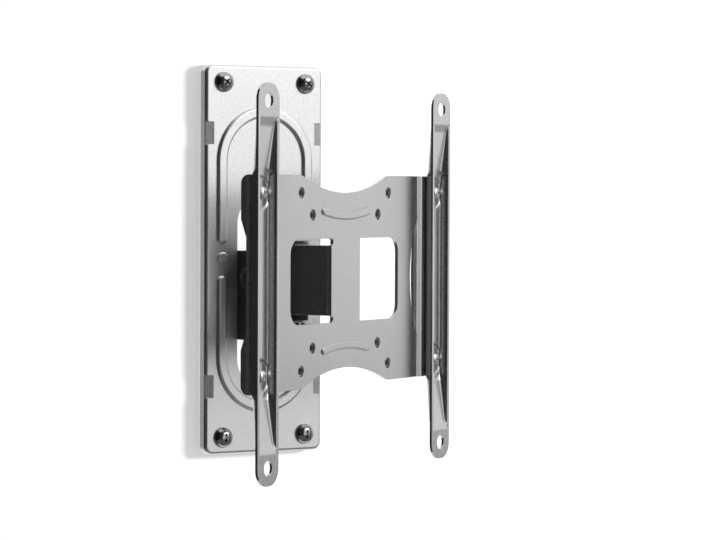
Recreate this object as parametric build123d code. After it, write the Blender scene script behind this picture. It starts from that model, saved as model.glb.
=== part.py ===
from build123d import *
import os

# Screen wall mount: a pressed steel wall plate, a black pivot bracket and
# knuckle, a butterfly head plate and two pressed extension arms.
# Millimetres. +Z up, the wall is the XZ plane and the room lies towards -Y.

# Wall plate, a shallow pressed pan
plate_width = 79.5
plate_height = 228.0
plate_depth = 6.5
plate_sheet = 1.5
plate_corner = 5.0
plate_edge_radius = 1.8
bead_radius = 29.0
bead_arc_height = 57.7
bead_width = 6.8
bead_rise = 1.8
bead_edge_radius = 1.6
bead_gap = 18.5
opening_width = 36.8
opening_arc_distance = 78.9
opening_height = -18.5
clip_height = 74.0
clip_length = 13.3
clip_reach = 5.6
clip_sink = 1.4

# Wall screws, pan heads with a long coarse shank
screw_side_inset = 11.95
screw_end_inset = 10.0
wall_head_radius = 6.0
wall_head_rise = 4.0
wall_shank_radius = 2.5
wall_shank_length = 38.0
wall_tip_length = 6.0
wall_tip_radius = 0.5
wall_hole_gap = 1.2

# Black pivot bracket behind and through the wall plate
bracket_width = 33.4
bracket_cheek = 3.0
bracket_top = 5.3
bracket_bottom = -47.0
bracket_flange = 3.0
bracket_wing = 68.0
bracket_nose_radius = 9.0
bracket_straight = 11.0
bracket_corner = 5.0
rivet_radius = 2.4
rivet_head_radius = 3.6
rivet_head_rise = 1.2
rivet_height = 1.0
rivet_spread = 57.0
dome_share = 0.7

# Tilt bolt, across the bracket
tilt_reach = 14.5
tilt_bolt_radius = 4.0
tilt_head_radius = 6.4
tilt_head_rise = 4.0
tilt_washer_radius = 7.5
tilt_washer_thickness = 1.2
tilt_nut_flats = 13.0
tilt_nut_height = 6.0
tilt_tail = 1.5
friction_disc_radius = 8.4
friction_disc_thickness = 0.8

# Knuckle, a black casting with two crossed barrels
knuckle_tilt_radius = 8.5
knuckle_swivel_radius = 9.0
knuckle_neck = 13.0
knuckle_neck_rear = 12.0
knuckle_neck_share = 0.85
knuckle_fillet = 1.5

# Swivel pin, upright through the ears of the head plate
swivel_reach = 38.0
head_height = -10.5
swivel_rest = 28.0
pin_radius = 4.0
pin_head_radius = 7.0
pin_head_rise = 3.5
pin_nut_flats = 12.0
pin_nut_height = 4.0
pin_tail = 1.2
pin_washer_radius = 8.0
pin_washer_thickness = 0.8
running_gap = 0.05
side_gap = 0.1

# Head plate with its butterfly outline
head_sheet = 2.0
head_setback = 32.0
face_half = 86.0
pad_rise = 2.2
pad_ramp = 2.6
pad_width = 23.5
flange_back = 3.0
bend_radius = 1.2
butterfly_height = 120.0
waist_height = 100.0
waist_half = 50.0
waist_blend = 7.0
window_height = 48.0
window_inner = 16.4
window_outer = 62.0
window_corner = 9.0
lug_height = 40.0
lug_overrun = 2.5
relief_radius = 2.0
ear_radius = 11.0
ear_start = 20.0
vesa_small = 75.0
vesa_large = 100.0
vesa_hole_radius = 3.2
rib_half = 25.0
rib_height = 37.0
rib_sweep = 2.6
rib_width = 4.6
rib_rise = 1.0
rib_edge_radius = 0.8
crescent_half = 36.0
crescent_depth = 9.0
crescent_gap = 2.4
flange_cut_half = 26.0
flange_cut_slope = 10.0
flange_corner = 5.0

# Extension arms, pressed troughs with flat end tabs
vesa_arm = 200.0
arm_inset = 14.0
arm_width = 22.0
arm_sheet = 1.5
arm_length = 219.5
arm_tip_radius = 9.5
arm_hole_radius = 4.3
arm_rim_rise = 8.9
trough_start = 91.5
trough_full = 60.0
trough_wall = 1.35
trough_lip = 2.2
trough_slope = 2.2
trough_corner = 1.4
arm_screw_spacing = 100.0
arm_screw_radius = 2.0
arm_head_radius = 3.7
arm_head_rise = 2.3
arm_nut_flats = 7.0
arm_nut_height = 3.2
arm_screw_tail = 1.0
hole_gap = 0.25
head_edge_radius = 1.0

os.makedirs("parts", exist_ok=True)

far = 4 * plate_height
front = -plate_depth
pivot_y = front - swivel_reach
tilt_y = front - tilt_reach
head_place = Pos(0, pivot_y, head_height) * Rot(0, 0, swivel_rest)


def save(solid, name):
    solid.label = name
    export_step(solid, "parts/" + name + ".step")


def mirrored(solid, plane):
    return solid + mirror(solid, about=plane)


def rod_z(radius, bottom, top):
    shape = Cylinder(radius, top - bottom, align=(Align.CENTER, Align.CENTER, Align.MIN))
    return Pos(0, 0, bottom) * shape


def rod_x(radius, left, right):
    return Rot(0, 90, 0) * rod_z(radius, left, right)


def rod_y(radius, near, far_end):
    return Rot(-90, 0, 0) * rod_z(radius, near, far_end)


def hex_z(flats, bottom, top):
    sketch = RegularPolygon(flats / 2, 6, major_radius=False)
    return Pos(0, 0, bottom) * extrude(sketch, top - bottom)


def facing(sketch, y_from, y_to):
    # a sketch drawn in X and Z, pushed from one Y to another
    return Pos(0, y_from, 0) * (Rot(90, 0, 0) * extrude(sketch, -(y_to - y_from)))


# Wall plate: rounded pan, open at the back, with a tall slot in the middle
outer_sketch = RectangleRounded(plate_width, plate_height, plate_corner)
inner_width = plate_width - 2 * plate_sheet
inner_height = plate_height - 2 * plate_sheet
inner_sketch = RectangleRounded(inner_width, inner_height, plate_corner - plate_sheet)
pan = facing(outer_sketch, front, 0)
pan = fillet(pan.edges().group_by(Axis.Y)[0], plate_edge_radius)
hollow = facing(inner_sketch, front + plate_sheet, 0)
inner_radius = plate_edge_radius - plate_sheet
hollow = fillet(hollow.edges().group_by(Axis.Y)[0], inner_radius)
wall_plate = pan - hollow

# Clip recesses: four short ramps pressed into the long edges
for side in (-1, 1):
    for level in (-clip_height, clip_height):
        edge_x = side * plate_width / 2
        inner_x = side * (plate_width / 2 - clip_reach)
        ramp = Polyline((inner_x, front), (edge_x, front), (edge_x, front + clip_sink), close=True)
        wedge = extrude(make_face(ramp), clip_length)
        wedge = Pos(0, 0, level - clip_length / 2) * wedge
        backing = Pos(-side * plate_sheet, plate_sheet, 0) * wedge
        wall_plate = wall_plate + backing - wedge

# Pressed bead: a long stadium in two halves with rounded ends
ring = SlotCenterToCenter(2 * bead_arc_height, 2 * bead_radius + bead_width, rotation=90)
ring -= SlotCenterToCenter(2 * bead_arc_height, 2 * bead_radius - bead_width, rotation=90)
bead_end = (bead_gap + bead_width) / 2
half_ring = ring & Pos(0, bead_end + plate_height / 2) * Rectangle(plate_width, plate_height)
for side in (-1, 1):
    half_ring += Pos(side * bead_radius, bead_end) * Circle(bead_width / 2)
groove = offset(half_ring, -plate_sheet)
bead = facing(half_ring, front - bead_rise, front + plate_sheet / 2)
bead = fillet(bead.edges().group_by(Axis.Y)[0], bead_edge_radius)
channel = facing(groove, front - bead_rise + plate_sheet, 0)
for flip in (False, True):
    raised = mirror(bead, about=Plane.XY) if flip else bead
    sunk = mirror(channel, about=Plane.XY) if flip else channel
    wall_plate = wall_plate + raised - sunk
slot = SlotCenterToCenter(opening_arc_distance, opening_width, rotation=90)
wall_plate -= Pos(0, 0, opening_height) * facing(slot, -far, 0)

# Holes for the wall screws and for the rivets of the bracket
screw_x = plate_width / 2 - screw_side_inset
screw_z = plate_height / 2 - screw_end_inset
screw_places = [(x * screw_x, z * screw_z) for z in (1, -1) for x in (-1, 1)]
for x, z in screw_places:
    clear = wall_shank_radius + wall_hole_gap
    wall_plate -= Pos(x, 0, z) * rod_y(clear, -far, far)
rivet_places = [(side * rivet_spread / 2, rivet_height) for side in (-1, 1)]
for x, z in rivet_places:
    wall_plate -= Pos(x, 0, z) * rod_y(rivet_radius, -far, far)
save(wall_plate, "wall_plate")

# Wall screws: low domed heads, a plain shank and a point in the wall
screw_names = ["upper_left", "upper_right", "lower_left", "lower_right"]
head = rod_y(wall_head_radius, front - wall_head_rise, front)
head = fillet(head.edges().sort_by(Axis.Y)[0], wall_head_rise * dome_share)
shank = rod_y(wall_shank_radius, front, wall_shank_length)
tip = Cone(wall_shank_radius, wall_tip_radius, wall_tip_length)
tip = Pos(0, wall_shank_length + wall_tip_length / 2, 0) * (Rot(-90, 0, 0) * tip)
wall_screw = head + shank + tip
for name, (x, z) in zip(screw_names, screw_places):
    save(Pos(x, 0, z) * wall_screw, "wall_screw_" + name)

# Pivot bracket: a cast flange behind the plate and two upright cheeks
flange_front = front + plate_sheet
bracket_height = bracket_top - bracket_bottom
bracket_mid = (bracket_top + bracket_bottom) / 2
cheek_inner = bracket_width / 2 - bracket_cheek
flange_sketch = RectangleRounded(bracket_wing, bracket_height, bracket_corner)
flange = Pos(0, 0, bracket_mid) * facing(flange_sketch, flange_front, flange_front + bracket_flange)
side_line = Polyline(
    (flange_front + bracket_flange, bracket_top),
    (front - bracket_straight, bracket_top),
    (tilt_y, head_height + bracket_nose_radius),
    (tilt_y, head_height - bracket_nose_radius),
    (front - bracket_straight, bracket_bottom),
    (flange_front + bracket_flange, bracket_bottom),
    close=True,
)
cheek_sketch = make_face(side_line) + Pos(tilt_y, head_height) * Circle(bracket_nose_radius)
cheek_profile = Plane.YZ * cheek_sketch
cheek_pair = Pos(cheek_inner, 0, 0) * extrude(cheek_profile, bracket_cheek)
cheek_pair += mirror(cheek_pair, about=Plane.YZ)
bracket = flange + cheek_pair
bracket -= Pos(0, tilt_y, head_height) * rod_x(tilt_bolt_radius + running_gap, -far, far)
for x, z in rivet_places:
    bracket -= Pos(x, 0, z) * rod_y(rivet_radius, -far, far)
save(bracket, "wall_bracket")

# Rivets that clamp the sheet to the bracket
rivet_back = flange_front + bracket_flange
rivet = rod_y(rivet_radius, front, rivet_back)
rivet_head = rod_y(rivet_head_radius, front - rivet_head_rise, front)
rivet_head = fillet(rivet_head.edges().sort_by(Axis.Y)[0], rivet_head_rise * dome_share)
rivet += rivet_head
rivet += rod_y(rivet_head_radius, rivet_back, rivet_back + rivet_head_rise)
rivets = Part() + [Pos(x, 0, z) * rivet for x, z in rivet_places]
save(rivets, "bracket_rivets")

# Tilt bolt with washers, nut and the two friction discs beside the knuckle
tilt_place = Pos(0, tilt_y, head_height)
half = bracket_width / 2
washer_outer = half + tilt_washer_thickness
nut_outer = washer_outer + tilt_nut_height
bolt = rod_x(tilt_bolt_radius, -washer_outer, nut_outer + tilt_tail)
bolt_head = rod_x(tilt_head_radius, -washer_outer - tilt_head_rise, -washer_outer)
bolt_head = fillet(bolt_head.edges().sort_by(Axis.X)[0], head_edge_radius)
save(tilt_place * (bolt + bolt_head), "tilt_bolt")
washer = rod_x(tilt_washer_radius, half, washer_outer)
washer -= rod_x(tilt_bolt_radius + running_gap, 0, far)
save(tilt_place * mirror(washer, about=Plane.YZ), "tilt_washer_left")
save(tilt_place * washer, "tilt_washer_right")
nut = Rot(0, 90, 0) * hex_z(tilt_nut_flats, washer_outer, nut_outer)
nut -= rod_x(tilt_bolt_radius, 0, far)
save(tilt_place * nut, "tilt_nut")
disc = rod_x(friction_disc_radius, cheek_inner - friction_disc_thickness, cheek_inner)
disc -= rod_x(tilt_bolt_radius + running_gap, 0, far)
save(tilt_place * mirrored(disc, Plane.YZ), "tilt_friction_discs")

# Knuckle: a barrel across for the tilt, an upright barrel for the swivel
barrel_half = cheek_inner - friction_disc_thickness - side_gap
ear_inner = lug_height / 2 - head_sheet
upright_half = ear_inner - pin_washer_thickness - side_gap
across = tilt_place * rod_x(knuckle_tilt_radius, -barrel_half, barrel_half)
pin_place = Pos(0, pivot_y, head_height)
upright = pin_place * rod_z(knuckle_swivel_radius, -upright_half, upright_half)
across = chamfer(across.edges().filter_by(GeomType.CIRCLE), knuckle_fillet / 2)
upright = chamfer(upright.edges().filter_by(GeomType.CIRCLE), knuckle_fillet / 2)
neck_rear = Plane((0, tilt_y, head_height), z_dir=(0, -1, 0), x_dir=(1, 0, 0))
neck_front = Plane((0, pivot_y, head_height), z_dir=(0, -1, 0), x_dir=(1, 0, 0))
rear_face = neck_rear * RectangleRounded(knuckle_neck, knuckle_neck_rear, knuckle_fillet)
neck_height = 2 * knuckle_neck_share * upright_half
front_face = neck_front * RectangleRounded(knuckle_neck, neck_height, knuckle_fillet)
neck = loft([rear_face, front_face])
knuckle = across + upright + neck
knuckle -= tilt_place * rod_x(tilt_bolt_radius + running_gap, -far, far)
knuckle -= pin_place * rod_z(pin_radius + running_gap, -far, far)
save(knuckle, "knuckle")

# Head plate: one sheet, stepped forward under the arms and turned back
# at its outer edges. Drawn square to the wall, then swung to the side.
mid_face = -head_setback + head_sheet / 2
mid_pad = mid_face - pad_rise
flange_half = face_half + pad_width
mid_flange = flange_half - head_sheet / 2
mid_end = -head_setback + flange_back
half_line = [
    (face_half, mid_face),
    (face_half + pad_ramp, mid_pad),
    (mid_flange, mid_pad),
    (mid_flange, mid_end),
]
whole_line = [(-x, y) for x, y in reversed(half_line)] + half_line
section = trace(FilletPolyline(*whole_line, radius=bend_radius + head_sheet / 2), head_sheet)
sheet_solid = Pos(0, 0, -butterfly_height / 2) * extrude(section, butterfly_height)

# Outline: straight ends, a long concave waist above and below
outline = Rectangle(2 * flange_half + head_sheet, butterfly_height)
waist_arc = ThreePointArc(
    (-waist_half, butterfly_height / 2),
    (0, waist_height / 2),
    (waist_half, butterfly_height / 2),
)
waist_line = Line((waist_half, butterfly_height / 2), (-waist_half, butterfly_height / 2))
waist = make_face(waist_arc + waist_line)
outline -= waist
outline -= mirror(waist, about=Plane.XZ)
waist_corners = outline.vertices().filter_by(lambda v: abs(abs(v.X) - waist_half) < side_gap)
outline = fillet(waist_corners, waist_blend)
head_plate = sheet_solid & facing(outline, -far, 0)

# Outer flanges: cut away in the middle, rounded at the free corners
flange_rear = mid_end
flange_front_y = -head_setback - pad_rise
flange_band = flange_rear - flange_front_y - head_sheet
cut_line = Polyline(
    (flange_rear - flange_band, -flange_cut_half),
    (flange_rear - flange_band, flange_cut_half),
    (flange_rear + side_gap, flange_cut_half + flange_cut_slope),
    (flange_rear + side_gap, -flange_cut_half - flange_cut_slope),
    close=True,
)
cut_face = Plane.YZ * make_face(cut_line)
corner_block = Rectangle(flange_corner, flange_corner, align=(Align.MAX, Align.MAX))
corner_block -= Pos(-flange_corner, -flange_corner) * Circle(flange_corner)
corner_face = Plane.YZ * (Pos(flange_rear, butterfly_height / 2) * corner_block)
for side in (-1, 1):
    inner = Pos(side * mid_flange, 0, 0)
    head_plate -= inner * extrude(cut_face, head_sheet, both=True)
    corner_cut = inner * extrude(corner_face, head_sheet, both=True)
    head_plate -= corner_cut
    head_plate -= mirror(corner_cut, about=Plane.XY)

# Crescent slits where each side steps forward
slit_outer = ThreePointArc(
    (face_half, -crescent_half),
    (face_half - crescent_depth, 0),
    (face_half, crescent_half),
)
slit_inner = ThreePointArc(
    (face_half, crescent_half),
    (face_half - crescent_depth + 2 * crescent_gap, 0),
    (face_half, -crescent_half),
)
slit = make_face(slit_outer + slit_inner)
cut_near = -2 * head_setback
cut_rear = -head_setback / 2
slit_cut = facing(slit, cut_near, cut_rear)
head_plate -= slit_cut
head_plate -= mirror(slit_cut, about=Plane.YZ)

# Windows: the left one leaves a lug that is folded back
window_width = window_outer - window_inner
window_mid = (window_outer + window_inner) / 2
window = Pos(window_mid, 0) * Rectangle(window_width, window_height)
outer_corners = window.vertices().group_by(Axis.X)[-1]
window = fillet(outer_corners, window_corner)
window_cut = facing(window, cut_near, cut_rear)
head_plate -= window_cut
head_plate -= mirror(window_cut, about=Plane.YZ)
for side in (-1, 1):
    level = side * (lug_height / 2 + relief_radius)
    relief = rod_y(relief_radius, cut_near, cut_rear)
    head_plate -= Pos(-window_inner, 0, level) * relief

# Folded lug and its two ears, which hold the swivel pin
lug_x = -window_inner + head_sheet / 2
lug_rear = lug_overrun
lug_line = FilletPolyline(
    (lug_x + window_inner / 2, mid_face),
    (lug_x, mid_face),
    (lug_x, lug_rear),
    radius=bend_radius + head_sheet / 2,
)
lug = Pos(0, 0, -lug_height / 2) * extrude(trace(lug_line, head_sheet), lug_height)
ear_length = ear_start + lug_rear
edge_strip = Rectangle(head_sheet, ear_length, align=(Align.MIN, Align.MAX))
ear_sketch = Pos(-window_inner, lug_rear) * edge_strip + Circle(ear_radius)
ear = extrude(make_hull(ear_sketch.edges()), head_sheet)
ear_pair = Pos(0, 0, ear_inner) * ear
ear_pair += Pos(0, 0, -lug_height / 2) * ear
head_plate = head_plate + lug + ear_pair
head_plate -= rod_z(pin_radius + running_gap, -far, far)

# Holes on both small patterns, the arm screws' holes and the two ribs
for pattern in (vesa_small, vesa_large):
    for x in (-1, 1):
        for z in (-1, 1):
            drill = rod_y(vesa_hole_radius, cut_near, cut_rear)
            head_plate -= Pos(x * pattern / 2, 0, z * pattern / 2) * drill
arm_x = face_half + arm_inset
arm_places = [(x * arm_x, z * arm_screw_spacing / 2) for z in (1, -1) for x in (-1, 1)]
for x, z in arm_places:
    drill = rod_y(arm_screw_radius + hole_gap, cut_near, cut_rear)
    head_plate -= Pos(x, 0, z) * drill
rib_line = ThreePointArc(
    (-rib_half, rib_height + rib_sweep),
    (0, rib_height),
    (rib_half, rib_height + rib_sweep),
)
rib_sketch = trace(rib_line, rib_width)
for side in (-1, 1):
    rib_sketch += Pos(side * rib_half, rib_height + rib_sweep) * Circle(rib_width / 2)
rib = facing(rib_sketch, -head_setback - rib_rise, mid_face)
rib = fillet(rib.edges().group_by(Axis.Y)[0], rib_edge_radius)
head_plate += rib
head_plate += mirror(rib, about=Plane.XY)
save(head_place * head_plate, "head_plate")

# Swivel pin, its nut and the thin washers inside the ears
pin_top = lug_height / 2
pin = rod_z(pin_radius, -pin_top - pin_nut_height - pin_tail, pin_top)
pin_head = rod_z(pin_head_radius, pin_top, pin_top + pin_head_rise)
pin_head = fillet(pin_head.edges().sort_by(Axis.Z)[-1], head_edge_radius)
save(head_place * (pin + pin_head), "swivel_pin")
pin_nut = hex_z(pin_nut_flats, -pin_top - pin_nut_height, -pin_top)
pin_nut -= rod_z(pin_radius, -far, far)
save(head_place * pin_nut, "swivel_nut")
pin_washer = rod_z(pin_washer_radius, ear_inner - pin_washer_thickness, ear_inner)
pin_washer -= rod_z(pin_radius + running_gap, 0, far)
save(head_place * mirrored(pin_washer, Plane.XY), "swivel_washers")

# Extension arm: flat tabs at the rim, ramps down into a trough that
# rests on the pads of the head plate around each screw
rim_front = -head_setback - arm_rim_rise
rim_back = rim_front + arm_sheet
pad_front = -head_setback - pad_rise
blank = RectangleRounded(arm_width, arm_length, arm_tip_radius)


def trough(drop, inset, level):
    # the solid of the pressed trough, seated drop below its floor line
    floor_line = [
        (rim_back, trough_start),
        (level, trough_full),
        (level, -trough_full),
        (rim_back, -trough_start),
    ]
    side = [(y - drop, z) for y, z in floor_line]
    top = rim_front - arm_sheet
    side = [(top, trough_start)] + side + [(top, -trough_start)]
    side_solid = extrude(Plane.YZ * make_face(Polyline(*side, close=True)), arm_width, both=True)
    mouth = arm_width / 2 - trough_lip - inset
    base = mouth - trough_slope
    ends = [
        (-mouth, top),
        (-mouth, rim_front),
        (-base, level - drop),
        (base, level - drop),
        (mouth, rim_front),
        (mouth, top),
    ]
    face = make_face(Polyline(*ends, close=True))
    corners = face.vertices().group_by(Axis.Y)[-1]
    face = fillet(corners, trough_corner)
    cross_solid = extrude(face, arm_length / 2, both=True)
    return side_solid & cross_solid


arm = facing(blank, rim_front, rim_back)
above = Box(arm_width, plate_height, 2 * arm_length, align=(Align.CENTER, Align.MAX, Align.CENTER))
outer_form = trough(0, 0, pad_front) - Pos(0, rim_front, 0) * above
inner_form = trough(arm_sheet, trough_wall, pad_front)
arm = arm + outer_form - inner_form
for z in (-1, 1):
    tab_hole = rod_y(arm_hole_radius, cut_near, 0)
    screw_hole = rod_y(arm_screw_radius + hole_gap, cut_near, 0)
    arm -= Pos(0, 0, z * vesa_arm / 2) * tab_hole
    arm -= Pos(0, 0, z * arm_screw_spacing / 2) * screw_hole
save(head_place * (Pos(-arm_x, 0, 0) * arm), "extension_arm_left")
save(head_place * (Pos(arm_x, 0, 0) * arm), "extension_arm_right")

# Arm screws and nuts: two screws through each arm and its pads
seat_y = pad_front - arm_sheet
pad_back = pad_front + head_sheet
tail_y = pad_back + arm_nut_height + arm_screw_tail
arm_screw = rod_y(arm_screw_radius, seat_y, tail_y)
arm_head = rod_y(arm_head_radius, seat_y - arm_head_rise, seat_y)
arm_head = fillet(arm_head.edges().sort_by(Axis.Y)[0], head_edge_radius)
arm_screw += arm_head
arm_nut = Rot(-90, 0, 0) * hex_z(arm_nut_flats, pad_back, pad_back + arm_nut_height)
arm_nut -= rod_y(arm_screw_radius, -far, far)
for name, (x, z) in zip(screw_names, arm_places):
    save(head_place * (Pos(x, 0, z) * arm_screw), "arm_screw_" + name)
nuts = Part() + [Pos(x, 0, z) * arm_nut for x, z in arm_places]
save(head_place * nuts, "arm_nuts")
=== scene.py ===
import math

import bmesh
import bpy
from mathutils import Matrix, Vector


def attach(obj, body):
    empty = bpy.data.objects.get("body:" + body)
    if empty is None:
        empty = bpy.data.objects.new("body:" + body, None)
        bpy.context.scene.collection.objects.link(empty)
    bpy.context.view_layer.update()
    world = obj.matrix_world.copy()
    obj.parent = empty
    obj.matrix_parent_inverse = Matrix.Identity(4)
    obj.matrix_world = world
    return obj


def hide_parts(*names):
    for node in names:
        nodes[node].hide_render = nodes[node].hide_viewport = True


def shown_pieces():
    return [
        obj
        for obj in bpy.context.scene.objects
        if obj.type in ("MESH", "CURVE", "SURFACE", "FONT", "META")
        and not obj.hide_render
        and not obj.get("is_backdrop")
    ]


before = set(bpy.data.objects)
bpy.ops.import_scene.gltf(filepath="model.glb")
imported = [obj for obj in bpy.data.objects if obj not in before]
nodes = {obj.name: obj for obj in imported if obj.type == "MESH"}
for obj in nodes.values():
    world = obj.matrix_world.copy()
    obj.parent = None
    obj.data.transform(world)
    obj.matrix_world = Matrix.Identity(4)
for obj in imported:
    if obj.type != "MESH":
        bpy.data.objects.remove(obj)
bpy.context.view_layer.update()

scene = bpy.context.scene

# WALL PLATE: a shallow pan pressed from 1.5 mm steel sheet, with a raised bead
# around the tall opening. It is coated in satin silver with a fine mottled grain,
# which leaves the pressed and punched edges softly rounded.


def shade(tree, kind, inputs=(), **settings):
    # one step of a finish: its kind, its settings and what feeds it
    step = tree.nodes.new("ShaderNode" + kind)
    for key, value in settings.items():
        setattr(step, key, value)
    for key, value in dict(inputs).items():
        if isinstance(value, bpy.types.NodeSocket):
            tree.links.new(value, step.inputs[key])
        else:
            step.inputs[key].default_value = value
    return step


def new_finish(name):
    finish = bpy.data.materials.new(name)
    finish.use_nodes = True
    finish.node_tree.nodes.clear()
    return finish, finish.node_tree


def coat(node_name, finish):
    mesh = nodes[node_name].data
    mesh.materials.clear()
    mesh.materials.append(finish)


def silver_coat(name, tone, roughness, grain, shift, relief):
    # cloudy silver with fine flakes, an orange-peel surface and soft edges
    finish, tree = new_finish(name)
    place = shade(tree, "TexCoord").outputs["Object"]
    place = shade(tree, "VectorMath", {0: place, 1: (shift, shift, shift)}).outputs[0]
    cloud = shade(tree, "TexNoise", {"Vector": place, "Scale": 28.0, "Detail": 4.0, "Roughness": 0.55})
    mottle = shade(tree, "TexNoise", {"Vector": place, "Scale": 620.0, "Detail": 3.0, "Roughness": 0.6})
    flake = shade(tree, "TexVoronoi", {"Vector": place, "Scale": 1700.0})
    low = [0.93 * value for value in tone]
    high = [min(1.0, 1.05 * value) for value in tone]
    spread = shade(tree, "Mix", {
        "Factor": cloud.outputs["Fac"], "A": (*low, 1), "B": (*high, 1),
    }, data_type="RGBA")
    fleck = shade(tree, "MapRange", {
        "Value": mottle.outputs["Fac"], "From Min": 0.35, "From Max": 0.65,
        "To Min": 1.0 - grain, "To Max": 1.0 + grain,
    })
    grainy = shade(tree, "VectorMath", {
        0: spread.outputs["Result"], "Scale": fleck.outputs["Result"],
    }, operation="SCALE")
    rough = shade(tree, "MapRange", {
        "Value": mottle.outputs["Fac"], "From Min": 0.3, "From Max": 0.7,
        "To Min": roughness - 0.03, "To Max": roughness + 0.05,
    })
    soft_edge = shade(tree, "Bevel", {"Radius": 0.00045}, samples=4)
    orange_peel = shade(tree, "Bump", {
        "Strength": relief, "Distance": 0.00012,
        "Height": mottle.outputs["Fac"], "Normal": soft_edge.outputs["Normal"],
    })
    sparkle = shade(tree, "Bump", {
        "Strength": 0.4 * relief, "Distance": 0.00004,
        "Height": flake.outputs["Distance"], "Normal": orange_peel.outputs["Normal"],
    })
    surface = shade(tree, "BsdfPrincipled", {
        "Base Color": grainy.outputs["Vector"], "Metallic": 0.97,
        "Roughness": rough.outputs["Result"], "Normal": sparkle.outputs["Normal"],
        "Coat Weight": 0.08, "Coat Roughness": 0.25,
    })
    shade(tree, "OutputMaterial", {"Surface": surface.outputs["BSDF"]})
    return finish


plate_coat = silver_coat(
    "plate_coat", tone=(0.75, 0.75, 0.74), roughness=0.31, grain=0.06, shift=0.0, relief=0.02,
)
coat("wall_plate", plate_coat)

# WALL SCREWS: four turned and plated steel screws with pan heads and a cross recess. Their bright steel is
# set dark, as painted shade for the dark room the heads reflect. Their coarse threads go into plugs in the
# wall.
millimetre = 0.001


def turned(profile, steps, core=None, pitch=1.0, thread_top=0.0):
    # a form turned about its own axis, with a thread below thread_top
    form = bmesh.new()
    rings = []
    for radius, height in profile:
        ring = []
        for step in range(1 if radius == 0 else steps):
            turn = 2 * math.pi * step / steps
            reach = radius
            if core is not None and height < thread_top:
                phase = (height / pitch + step / steps) % 1.0
                flank = max(0.0, 1.0 - abs(phase - 0.5) / 0.32)
                reach = radius * (core + (1.0 - core) * flank)
            ring.append(form.verts.new((reach * math.cos(turn), reach * math.sin(turn), height)))
        rings.append(ring)
    for upper, lower in zip(rings, rings[1:]):
        for step in range(steps):
            after = (step + 1) % steps
            if len(upper) == 1:
                form.faces.new((upper[0], lower[step], lower[after]))
            elif len(lower) == 1:
                form.faces.new((upper[step], lower[0], upper[after]))
            else:
                form.faces.new((upper[step], lower[step], lower[after], upper[after]))
    return form


def cross_punch(top, bottom, span, width):
    # the pointed cross that a screwdriver fits, wide at the top
    form = bmesh.new()
    rings = []
    for height, arm, half in ((top, span / 2, width / 2), (bottom, span / 5, width / 3.2)):
        outline = [
            (arm, -half), (arm, half), (half, half), (half, arm), (-half, arm), (-half, half),
            (-arm, half), (-arm, -half), (-half, -half), (-half, -arm), (half, -arm), (half, -half),
        ]
        rings.append([form.verts.new((x, y, height)) for x, y in outline])
    form.faces.new(rings[0])
    form.faces.new(list(reversed(rings[1])))
    for step in range(len(rings[0])):
        after = (step + 1) % len(rings[0])
        form.faces.new((rings[0][step], rings[1][step], rings[1][after], rings[0][after]))
    return form


def finished(name, form):
    # a mesh in metres from a form drawn in millimetres
    bmesh.ops.recalc_face_normals(form, faces=form.faces)
    bmesh.ops.scale(form, vec=(millimetre, millimetre, millimetre), verts=form.verts)
    mesh = bpy.data.meshes.new(name)
    form.to_mesh(mesh)
    form.free()
    return mesh


def carved(name, body, tool, how="DIFFERENCE"):
    # body with tool cut from it, or only what both share
    block = bpy.data.objects.new(name, finished(name, body))
    cutter = bpy.data.objects.new(name + "_cutter", finished(name + "_cutter", tool))
    for solid in (block, cutter):
        scene.collection.objects.link(solid)
    cut = block.modifiers.new("cut", "BOOLEAN")
    cut.operation = how
    cut.solver = "EXACT"
    cut.object = cutter
    seen = block.evaluated_get(bpy.context.evaluated_depsgraph_get())
    mesh = bpy.data.meshes.new_from_object(seen)
    bpy.data.objects.remove(block)
    bpy.data.objects.remove(cutter)
    mesh.name = name
    return mesh


def smooth(mesh, angle=34.0):
    mesh.polygons.foreach_set("use_smooth", [True] * len(mesh.polygons))
    mesh.set_sharp_from_angle(angle=math.radians(angle))
    return mesh


def fit(name, mesh, place, body, finish, slot_name, *stands_for):
    # put a finished piece in its place and let it move with its body
    piece = bpy.data.objects.new(name, mesh)
    piece.matrix_world = place
    scene.collection.objects.link(piece)
    mesh.materials.clear()
    mesh.materials.append(finish)
    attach(piece, body)
    if stands_for:
        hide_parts(*stands_for)
    return piece


def bright_plating(name, tone, roughness):
    # plated steel: faint swirl in the gloss, fine scratches in the height
    finish, tree = new_finish(name)
    place = shade(tree, "TexCoord").outputs["Object"]
    swirl = shade(tree, "TexNoise", {"Vector": place, "Scale": 900.0, "Detail": 3.0})
    stain = shade(tree, "TexNoise", {"Vector": place, "Scale": 260.0, "Detail": 2.0})
    colour = shade(tree, "Mix", {
        "Factor": stain.outputs["Fac"],
        "A": (*[0.85 * value for value in tone], 1), "B": (*tone, 1),
    }, data_type="RGBA")
    rough = shade(tree, "MapRange", {
        "Value": swirl.outputs["Fac"], "To Min": roughness - 0.04, "To Max": roughness + 0.08,
    })
    scratch = shade(tree, "Bump", {
        "Strength": 0.06, "Distance": 0.00008, "Height": swirl.outputs["Fac"],
    })
    surface = shade(tree, "BsdfPrincipled", {
        "Base Color": colour.outputs["Result"], "Metallic": 1.0,
        "Roughness": rough.outputs["Result"], "Normal": scratch.outputs["Normal"],
    })
    shade(tree, "OutputMaterial", {"Surface": surface.outputs["BSDF"]})
    return finish


# tone 0.46 is painted shade: bright steel darkened for the dark reflection in the screw heads
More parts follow.
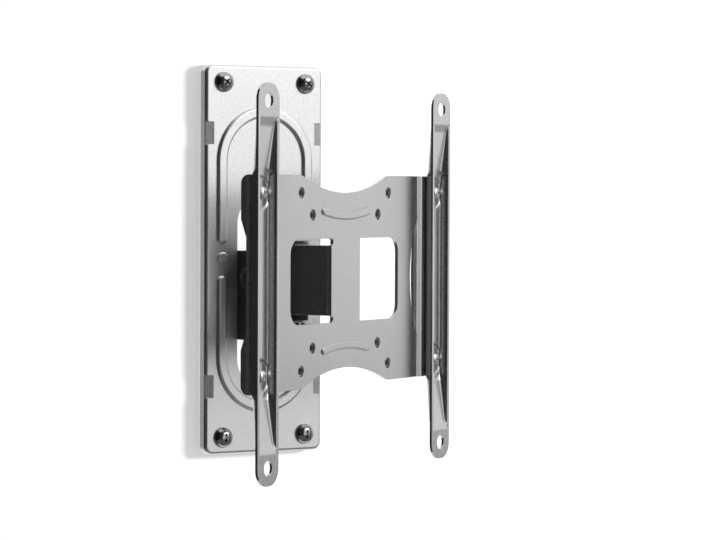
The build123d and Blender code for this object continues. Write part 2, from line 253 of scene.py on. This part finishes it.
wall_screw_plating = bright_plating("wall_screw_plating", tone=(0.46, 0.46, 0.47), roughness=0.16)
shank_radius, shank_start, shank_end = 2.5, -4.0, -44.5
thread_core, thread_pitch, thread_step = 0.72, 2.4, 0.3
point_length, point_radius = 6.0, 0.5
pan_head = [
    (0, 4.0), (1.6, 3.95), (3.2, 3.62), (4.5, 2.95), (5.4, 2.05), (5.85, 1.2),
    (6.0, 0.5), (5.9, 0.1), (5.7, 0.0), (shank_radius, 0.0), (shank_radius, shank_start),
]
rows = int((shank_start - shank_end) / thread_step)
threads = [(shank_radius, shank_start - thread_step * (row + 1)) for row in range(rows)]
point = [
    (shank_radius * (1 - share) + point_radius * share, shank_end - point_length * share)
    for share in (0.12, 0.3, 0.5, 0.7, 0.9, 1.0)
]
wall_screw_profile = pan_head + threads + point + [(0, shank_end - point_length)]
wall_screw_form = turned(
    wall_screw_profile, steps=40, core=thread_core, pitch=thread_pitch, thread_top=shank_start,
)
wall_screw_cross = cross_punch(top=4.6, bottom=1.5, span=5.6, width=1.5)
wall_screw_mesh = smooth(carved("wall_screw", wall_screw_form, wall_screw_cross))
screw_across, screw_up, plate_front = 0.0278, 0.104, -0.0065
corners = {
    "upper_left": (-1, 1, 52.0), "upper_right": (1, 1, 50.0),
    "lower_left": (-1, -1, 88.0), "lower_right": (1, -1, 84.0),
}
point_out = Matrix.Rotation(math.radians(90.0), 4, "X")
for corner, (to_right, to_top, turn) in corners.items():
    place = Matrix.Translation((to_right * screw_across, plate_front, to_top * screw_up))
    place = place @ point_out @ Matrix.Rotation(math.radians(turn), 4, "Z")
    fit("screw_in_wall_" + corner, wall_screw_mesh, place, "wall",
        wall_screw_plating, "bright_steel", "wall_screw_" + corner)

# PIVOT BRACKET: a black painted steel casting, with a flange riveted behind the
# plate and two cheeks that come forward through the opening to the tilt bolt.


def black_paint_coat(name, dark, pale, roughness):
    finish, tree = new_finish(name)
    place = shade(tree, "TexCoord").outputs["Object"]
    cast = shade(tree, "TexNoise", {"Vector": place, "Scale": 900.0, "Detail": 4.0})
    dust = shade(tree, "TexNoise", {"Vector": place, "Scale": 90.0, "Detail": 5.0})
    tone = shade(tree, "Mix", {
        "Factor": dust.outputs["Fac"],
        "A": (dark, dark, 1.03 * dark, 1), "B": (pale, pale, 1.03 * pale, 1),
    }, data_type="RGBA")
    rough = shade(tree, "MapRange", {
        "Value": cast.outputs["Fac"], "To Min": roughness - 0.08, "To Max": roughness + 0.12,
    })
    soft_edge = shade(tree, "Bevel", {"Radius": 0.0006}, samples=4)
    texture = shade(tree, "Bump", {
        "Strength": 0.25, "Distance": 0.0001,
        "Height": cast.outputs["Fac"], "Normal": soft_edge.outputs["Normal"],
    })
    surface = shade(tree, "BsdfPrincipled", {
        "Base Color": tone.outputs["Result"], "Roughness": rough.outputs["Result"],
        "Normal": texture.outputs["Normal"],
    })
    shade(tree, "OutputMaterial", {"Surface": surface.outputs["BSDF"]})
    return finish


bracket_paint = black_paint_coat("bracket_paint", dark=0.010, pale=0.024, roughness=0.45)
coat("wall_bracket", bracket_paint)

# BRACKET RIVETS: two steel rivets set through the sheet and the flange behind it,
# finished in the same silver as the plate.
coat("bracket_rivets", plate_coat)

# TILT BOLT, NUT AND WASHERS: a turned and blackened steel bolt right through both
# cheeks and the knuckle, with a socket in its head, a washer on each side and a
# chamfered nut on the right.


def hexagon(flats, bottom, top, turn=0.0):
    form = bmesh.new()
    corner = flats / math.sqrt(3)
    rings = []
    for height in (top, bottom):
        rings.append([
            form.verts.new((
                corner * math.cos(math.radians(60 * step + turn)),
                corner * math.sin(math.radians(60 * step + turn)), height,
            )) for step in range(6)
        ])
    form.faces.new(rings[0])
    form.faces.new(list(reversed(rings[1])))
    for step in range(6):
        after = (step + 1) % 6
        form.faces.new((rings[0][step], rings[1][step], rings[1][after], rings[0][after]))
    return form


def nut_mesh(name, flats, height, bore):
    # a hexagon with both ends turned to a chamfer and a plain bore
    corner = flats / math.sqrt(3)
    chamfer = (corner - flats / 2) * 0.62
    face, clear = 0.96 * flats / 2, corner + 0.02
    ring = [
        (bore, height), (face, height), (clear, height - chamfer),
        (clear, chamfer), (face, 0.0), (bore, 0.0), (bore, height),
    ]
    block = hexagon(flats, bottom=0.0, top=height, turn=30.0)
    return smooth(carved(name, block, turned(ring, steps=48), "INTERSECT"), angle=28.0)


bolt_black = black_paint_coat("bolt_black", dark=0.016, pale=0.032, roughness=0.34)
bolt_axis = Vector((0.0, -0.021, -0.0105))
along_bolt = Matrix.Translation(bolt_axis) @ Matrix.Rotation(math.radians(90.0), 4, "Y")
bolt_radius, grip_half, bolt_end, bolt_top = 4.0, 17.9, 25.4, -21.9
bolt_profile = [
    (0, bolt_end), (3.3, bolt_end), (3.9, 24.8), (bolt_radius, 24.5), (bolt_radius, -grip_half),
    (5.9, -grip_half), (6.4, -18.3), (6.4, -20.6), (6.1, -21.4), (5.4, bolt_top), (0, bolt_top),
]
socket = hexagon(flats=6.0, bottom=-23.0, top=-19.4)
bolt_mesh = smooth(carved("bolt", turned(bolt_profile, steps=48), socket))
fit("bolt_through_cheeks", bolt_mesh, along_bolt, "wall", bolt_black, "black_steel", "tilt_bolt")
bolt_nut_mesh = nut_mesh("bolt_nut", flats=13.0, height=6.0, bore=bolt_radius)
nut_place = along_bolt @ Matrix.Translation((0, 0, grip_half * millimetre))
fit("nut_on_bolt", bolt_nut_mesh, nut_place, "wall", bolt_black, "black_steel", "tilt_nut")
coat("tilt_washer_left", bolt_black)
coat("tilt_washer_right", bolt_black)

# FRICTION DISCS: two thin punched nylon discs between the knuckle and the
# cheeks, which give the tilt its stiff feel.
nylon, nylon_tree = new_finish("black_nylon")
spot = shade(nylon_tree, "TexCoord").outputs["Object"]
haze = shade(nylon_tree, "TexNoise", {"Vector": spot, "Scale": 500.0, "Detail": 2.0})
rough = shade(nylon_tree, "MapRange", {"Value": haze.outputs["Fac"], "To Min": 0.45, "To Max": 0.65})
film = shade(nylon_tree, "Mix", {
    "Factor": haze.outputs["Fac"], "A": (0.035, 0.035, 0.036, 1), "B": (0.06, 0.06, 0.062, 1),
}, data_type="RGBA")
surface = shade(nylon_tree, "BsdfPrincipled", {
    "Base Color": film.outputs["Result"], "Roughness": rough.outputs["Result"],
})
shade(nylon_tree, "OutputMaterial", {"Surface": surface.outputs["BSDF"]})
coat("tilt_friction_discs", nylon)

# KNUCKLE: a black painted casting with two crossed barrels. One turns on the
# tilt bolt, the other is gripped between the ears of the head plate.
coat("knuckle", bracket_paint)

# HEAD PLATE: one blanked and folded sheet of 2 mm steel in satin silver, stepped
# forward under the arms, with a lug and two ears folded back from the left
# window. The eight holes for the screen have short collars pulled out behind.


def join_to(whole, form, tip_over, offset):
    # tip a turned form about X, move it and add it to a larger form
    bmesh.ops.rotate(form, matrix=Matrix.Rotation(math.radians(tip_over), 3, "X"), verts=form.verts)
    bmesh.ops.translate(form, vec=offset, verts=form.verts)
    part = bpy.data.meshes.new("part")
    form.to_mesh(part)
    form.free()
    whole.from_mesh(part)
    bpy.data.meshes.remove(part)


# The head's silver is the plate's set darker (0.585 against 0.75): painted shade for a face turned further
# from the light.
head_coat = silver_coat(
    "head_coat", tone=(0.585, 0.585, 0.58), roughness=0.30, grain=0.06, shift=3.0, relief=0.012,
)
coat("head_plate", head_coat)
pivot = Vector((0.0, -0.0445, -0.0105))
swing_in_photo = 28.0
swung = Matrix.Translation(pivot) @ Matrix.Rotation(math.radians(swing_in_photo), 4, "Z")
hole_radius, collar_radius, collar_rise, sheet_back = 3.2, 4.2, 1.9, -30.0
collar_profile = [
    (hole_radius, 0.0), (collar_radius, 0.0), (4.1, 1.6), (3.8, collar_rise),
    (hole_radius, collar_rise), (hole_radius, 0.0),
]
four_ways = ((-1, 1), (1, 1), (-1, -1), (1, -1))
collars = bmesh.new()
inner_reach, outer_reach = 37.5, 50.0
for reach in (inner_reach, outer_reach):
    for to_right, to_top in four_ways:
        hole = (to_right * reach, sheet_back, to_top * reach)
        join_to(collars, turned(collar_profile, steps=40), tip_over=-90.0, offset=hole)
fit("collars_behind_holes", smooth(finished("collars", collars)), swung, "head", head_coat, "satin_silver")

# SWIVEL PIN, NUT AND WASHERS: a turned and plated pin with a round head, dropped
# through both ears and the knuckle, with a blackened nut below and thin nylon
# washers between the ears and the knuckle.
pin_plating = bright_plating("pin_plating", tone=(0.52, 0.52, 0.51), roughness=0.28)
pin_radius, pin_head, ear_top, pin_end = 4.0, 7.0, 20.0, -25.2
pin_profile = [
    (0, 23.5), (4.6, 23.45), (5.8, 23.2), (6.7, 22.6), (pin_head, 21.9), (pin_head, 20.3),
    (6.8, ear_top), (pin_radius, ear_top), (pin_radius, -24.4), (3.6, -25.0), (3.1, pin_end), (0, pin_end),
]
fit("pin_through_ears", smooth(finished("pin", turned(pin_profile, steps=56))), swung, "head",
    pin_plating, "zinc_steel", "swivel_pin")
pin_nut_mesh = nut_mesh("pin_nut", flats=12.0, height=4.0, bore=pin_radius)
pin_nut_bottom = -24.0
pin_nut_place = swung @ Matrix.Translation((0, 0, pin_nut_bottom * millimetre))
fit("nut_on_pin", pin_nut_mesh, pin_nut_place, "head", bolt_black, "black_steel", "swivel_nut")
coat("swivel_washers", nylon)

# EXTENSION ARMS: two upright troughs pressed from 1.5 mm steel, deepest around
# the screws, with ramps up to flat rounded tabs. Each is pierced for the
# screen's screws and its own, and coated in satin silver like the head.
arm_half, arm_end, tab_round, sheet = 11.0, 109.75, 9.5, 1.5
mouth, wall_behind, steepness, rim_front = 8.8, 1.05, 3.0, -40.9
rim_round, floor_round, ramp_round, ramp_start, ramp_blend = 1.6, 0.5, 6.0, 59.0, 4.0
long_floor, pocket_floor, pocket_inner, pocket_outer = 4.7, 5.2, 8.2, 9.6
screw_height, tab_hole_height, screw_hole, tab_hole = 50.0, 100.0, 2.15, 4.3
floor_blur, least_depth, corner_share = (-1.2, -0.6, 0.0, 0.6, 1.2), 0.02, 1.6
floor_line = [
    (0.0, long_floor), (60.0, long_floor), (64.0, 4.2), (86.5, 1.7), (88.0, 1.3), (91.0, 0.0), (120.0, 0.0),
]


def along(line, reach):
    # the height of a bent line at this reach
    for (before, low), (after, high) in zip(line, line[1:]):
        if reach <= after:
            return low + (high - low) * (reach - before) / (after - before)
    return line[-1][1]


def lesser(first, second, soft):
    # the lesser of two depths, with the corner between them rounded off
    near = max(0.0, soft - abs(first - second))
    return min(first, second) - near * near / (4 * soft)


def trough_depth(across, level, widening):
    # how far the sheet lies behind the rim at this spot
    floor = sum(along(floor_line, abs(level) + shift) for shift in floor_blur) / len(floor_blur)
    from_screw = math.hypot(across, abs(level) - screw_height)
    share = min(1.0, max(0.0, (pocket_outer - from_screw) / (pocket_outer - pocket_inner)))
    floor += (pocket_floor - floor) * share * share * (3 - 2 * share)
    if floor < least_depth:
        return 0.0
    wall = steepness * (mouth + widening - abs(across))
    corner = floor_round + ramp_round * min(1.0, max(0.0, (abs(level) - ramp_start) / ramp_blend))
    return max(0.0, lesser(floor, -lesser(0.0, -wall, rim_round), min(corner, corner_share * floor)))


def pressed_arm():
    # the front and the back of the sheet as two grids, closed along the edges
    form = bmesh.new()
    bend_start, row_step, tab_steps, columns_half = arm_end - tab_round, 0.75, 30, 40
    levels = [row_step * step for step in range(int(bend_start / row_step) + 1)]
    turns = [math.radians(90.0 * step / tab_steps) for step in range(1, tab_steps + 1)]
    levels += [bend_start + tab_round * math.sin(turn) for turn in turns]
    levels = [-level for level in reversed(levels[1:])] + levels
    columns = [-1.0 + step / columns_half for step in range(2 * columns_half + 1)]
    sides = []
    for widening, behind_rim in ((0.0, 0.0), (wall_behind, sheet)):
        grid = []
        for level in levels:
            over = max(0.0, abs(level) - bend_start)
            half = arm_half - tab_round + math.sqrt(max(0.0, tab_round ** 2 - over ** 2))
            row = []
            for column in columns:
                depth = trough_depth(column * half, level, widening) + behind_rim
                row.append(form.verts.new((column * half, rim_front + depth, level)))
            grid.append(row)
        sides.append(grid)
    front, back = sides
    for low in range(len(levels) - 1):
        high = low + 1
        for left in range(len(columns) - 1):
            right = left + 1
            for grid in sides:
                form.faces.new((grid[low][left], grid[low][right], grid[high][right], grid[high][left]))
        for edge in (0, -1):
            form.faces.new((front[low][edge], front[high][edge], back[high][edge], back[low][edge]))
    for edge in (0, -1):
        for left in range(len(columns) - 1):
            right = left + 1
            form.faces.new((front[edge][left], front[edge][right], back[edge][right], back[edge][left]))
    return form


arm_drills = bmesh.new()
drill_top, drill_tip = 45.0, 30.0
for level, radius in (
    (tab_hole_height, tab_hole), (screw_height, screw_hole),
    (-screw_height, screw_hole), (-tab_hole_height, tab_hole),
):
    drill_profile = [(0, drill_top), (radius, drill_top), (radius, drill_tip), (0, drill_tip)]
    join_to(arm_drills, turned(drill_profile, steps=48), tip_over=90.0, offset=(0, 0, level))
# The arms carry the same silver set darker than the plate's (0.56 against 0.75): painted shade, as on the
# head.
arm_coat = silver_coat(
    "arm_coat", tone=(0.56, 0.56, 0.555), roughness=0.19, grain=0.06, shift=5.0, relief=0.015,
)
arm_mesh = smooth(carved("arm", pressed_arm(), arm_drills), angle=40.0)
arm_across = 0.1
for side, to_right in (("left", -1), ("right", 1)):
    fit("arm_" + side, arm_mesh, swung @ Matrix.Translation((to_right * arm_across, 0, 0)), "head",
        arm_coat, "satin_silver", "extension_arm_" + side)

# ARM SCREWS AND NUTS: four small bright machine screws with a cross recess hold
# the arms to the head plate's pads, each with a plain nut behind the sheet.
arm_screw_plating = bright_plating("arm_screw_plating", tone=(0.88, 0.88, 0.88), roughness=0.27)
small_radius, small_start, small_end = 2.0, -3.4, -7.7
small_step, small_count, small_turn = 0.1, 39, 2.3
small_head = [
    (0, 3.0), (1.2, 2.97), (2.3, 2.75), (3.0, 2.35), (3.4, 1.75), (3.55, 0.9),
    (3.55, 0.2), (3.45, 0.0), (small_radius, 0.0), (small_radius, small_start),
]
small_rows = [(small_radius, small_start - small_step * (row + 1)) for row in range(small_count)]
small_tip = [(1.7, -7.5), (1.4, small_end), (0, small_end)]
arm_screw_form = turned(
    small_head + small_rows + small_tip, steps=36, core=0.86, pitch=0.7, thread_top=small_start,
)
arm_screw_cross = cross_punch(top=3.4, bottom=1.3, span=3.9, width=1.0)
arm_screw_mesh = smooth(carved("arm_screw", arm_screw_form, arm_screw_cross))
floor_front, pad_rear, screw_step = -0.0357, -0.0290, 0.05
for corner, (to_right, to_top, turn) in corners.items():
    centre = Matrix.Translation((to_right * arm_across, floor_front, to_top * screw_step))
    place = swung @ centre @ point_out @ Matrix.Rotation(math.radians(small_turn * turn), 4, "Z")
    fit("screw_in_arm_" + corner, arm_screw_mesh, place, "head",
        arm_screw_plating, "bright_steel", "arm_screw_" + corner)
arm_nut_mesh = nut_mesh("arm_nut", flats=7.0, height=3.2, bore=small_radius)
nut_form = bmesh.new()
for to_right, to_top in four_ways:
    copy = arm_nut_mesh.copy()
    centre = Matrix.Translation((to_right * arm_across, pad_rear, to_top * screw_step))
    copy.transform(centre @ point_out)
    nut_form.from_mesh(copy)
    bpy.data.meshes.remove(copy)
nuts = bpy.data.meshes.new("arm_nut_set")
nut_form.to_mesh(nuts)
nut_form.free()
fit("nuts_behind_arms", smooth(nuts, angle=28.0), swung, "head",
    arm_screw_plating, "bright_steel", "arm_nuts")

# ROOM: a plain white painted wall that only takes the soft shadow beside the
# plate. It is clear from behind, so that the back of the mount can be seen.
wall_mesh = bpy.data.meshes.new("room_wall")
left, right, low, high, behind = -0.55, 0.75, -0.5, 0.5, 0.0004
wall_mesh.from_pydata(
    [(left, behind, low), (right, behind, low), (right, behind, high), (left, behind, high)],
    [], [(0, 1, 2, 3)],
)
room_wall = bpy.data.objects.new("room_wall", wall_mesh)
scene.collection.objects.link(room_wall)
wall_paint, paint_tree = new_finish("wall_paint")
face = shade(paint_tree, "NewGeometry")
paint = shade(paint_tree, "BsdfDiffuse", {"Color": (0.86, 0.86, 0.86, 1)})
lift = shade(paint_tree, "Emission", {"Color": (1, 1, 1, 1), "Strength": 0.30})
wall_look = shade(paint_tree, "AddShader", {0: paint.outputs[0], 1: lift.outputs[0]})
clear = shade(paint_tree, "BsdfTransparent")
two_sided = shade(paint_tree, "MixShader", {
    0: face.outputs["Backfacing"], 1: wall_look.outputs[0], 2: clear.outputs[0],
})
shade(paint_tree, "OutputMaterial", {"Surface": two_sided.outputs[0]})
wall_mesh.materials.append(wall_paint)
room_wall.visible_glossy = False
room_wall.visible_diffuse = False
room_wall.visible_shadow = False
room_wall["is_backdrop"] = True

# STUDIO: an even white surround, dark and grey cards that show only in the gloss
# of the metal, and three lamps, set up to give the light of the photograph.
world = bpy.data.worlds.new("studio")
world.use_nodes = True
scene.world = world
sky_tree = world.node_tree
sky_tree.nodes.clear()
seen = shade(sky_tree, "LightPath")
direct = shade(sky_tree, "Math", {
    0: seen.outputs["Is Camera Ray"], 1: seen.outputs["Is Glossy Ray"],
}, operation="MAXIMUM")
direct = shade(sky_tree, "Math", {
    0: direct.outputs[0], 1: seen.outputs["Is Transmission Ray"],
}, operation="MAXIMUM")
brightness = shade(sky_tree, "Mix", {
    "Factor": direct.outputs[0], "A": (0.45, 0.45, 0.45, 1), "B": (1, 1, 1, 1),
}, data_type="RGBA")
sky = shade(sky_tree, "Background", {"Color": brightness.outputs["Result"], "Strength": 1.0})
shade(sky_tree, "OutputWorld", {"Surface": sky.outputs[0]})


def flag(name, centre, facing, width, height, tone):
    # a studio card that shows only in the gloss of the metal
    mesh = bpy.data.meshes.new(name)
    half_w, half_h = width / 2, height / 2
    mesh.from_pydata(
        [(-half_w, -half_h, 0), (half_w, -half_h, 0), (half_w, half_h, 0), (-half_w, half_h, 0)],
        [], [(0, 1, 2, 3)],
    )
    card = bpy.data.objects.new(name, mesh)
    scene.collection.objects.link(card)
    card.location = centre
    card.rotation_euler = Vector(facing).to_track_quat("Z", "Y").to_euler()
    board, tree = new_finish(name + "_board")
    glow = shade(tree, "Emission", {"Color": (tone, tone, tone, 1), "Strength": 1.0})
    shade(tree, "OutputMaterial", {"Surface": glow.outputs[0]})
    mesh.materials.append(board)
    card.visible_camera = False
    card.visible_diffuse = False
    card.visible_shadow = False
    card.visible_transmission = False
    card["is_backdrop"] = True


flag("flag_left", centre=(-1.1, 0.12, 0.0), facing=(1, 0, 0), width=3.8, height=4.4, tone=0.010)
flag("flag_right", centre=(1.05, -0.58, 0.0), facing=(-1.05, 0.58, 0), width=0.42, height=2.0, tone=0.08)
flag("flag_front", centre=(-0.52, -1.97, 0.0), facing=(0.52, 1.97, 0), width=1.86, height=4.4, tone=0.03)
flag("flag_floor", centre=(0.3, -1.6, -0.68), facing=(0, 0, 1), width=3.2, height=3.0, tone=0.16)
flag("flag_low_right", centre=(1.7, 0.0, -0.85), facing=(-1, 0, 0), width=1.5, height=1.3, tone=0.5)


def softbox(name, centre, width, height, power):
    lamp = bpy.data.lights.new(name, "AREA")
    lamp.shape = "RECTANGLE"
    lamp.size = width
    lamp.size_y = height
    lamp.energy = power
    box = bpy.data.objects.new(name, lamp)
    box.location = centre
    box.rotation_euler = (-Vector(centre)).to_track_quat("-Z", "Y").to_euler()
    scene.collection.objects.link(box)
    return box


softbox_right = softbox("softbox_right", centre=(1.45, -2.0, 1.12), width=1.5, height=1.1, power=18.0)
camera_lamp = softbox("softbox_camera", centre=(-1.07, -1.5, 0.14), width=0.16, height=0.16, power=11.0)
camera_lamp.visible_glossy = False
wall_lamp = softbox("lamp_along_wall", centre=(1.3, -0.75, 0.25), width=0.3, height=0.3, power=27.0)
mount_only = bpy.data.collections.new("mount_only")
wall_only = bpy.data.collections.new("wall_only")
plate_only = bpy.data.collections.new("plate_only")
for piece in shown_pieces():
    mount_only.objects.link(piece)
wall_only.objects.link(room_wall)
plate_only.objects.link(nodes["wall_plate"])
camera_lamp.light_linking.receiver_collection = mount_only
softbox_right.light_linking.receiver_collection = mount_only
wall_lamp.light_linking.receiver_collection = wall_only
wall_lamp.light_linking.blocker_collection = plate_only
wall_lamp.visible_glossy = False

# CAMERA: fitted to the photograph through the holes for the screen. It stands to
# the left of the mount and about level with it, with a long lens.
camera_data = bpy.data.cameras.new("camera")
camera_data.sensor_width = 36.0
camera_data.lens = 149.23
camera = bpy.data.objects.new("camera", camera_data)
rightward = Vector((0.84357994, -0.53698803, 0.00409227))
upward = Vector((0.01125849, 0.02530436, 0.99961639))
ahead = Vector((0.53688559, 0.84321026, -0.02739192))
stand = Vector((-0.893206, -1.512142, 0.041919))
camera.matrix_world = Matrix((
    (rightward.x, upward.x, -ahead.x, stand.x),
    (rightward.y, upward.y, -ahead.y, stand.y),
    (rightward.z, upward.z, -ahead.z, stand.z),
    (0, 0, 0, 1),
))
scene.collection.objects.link(camera)
scene.camera = camera
scene.view_settings.view_transform = "Standard"
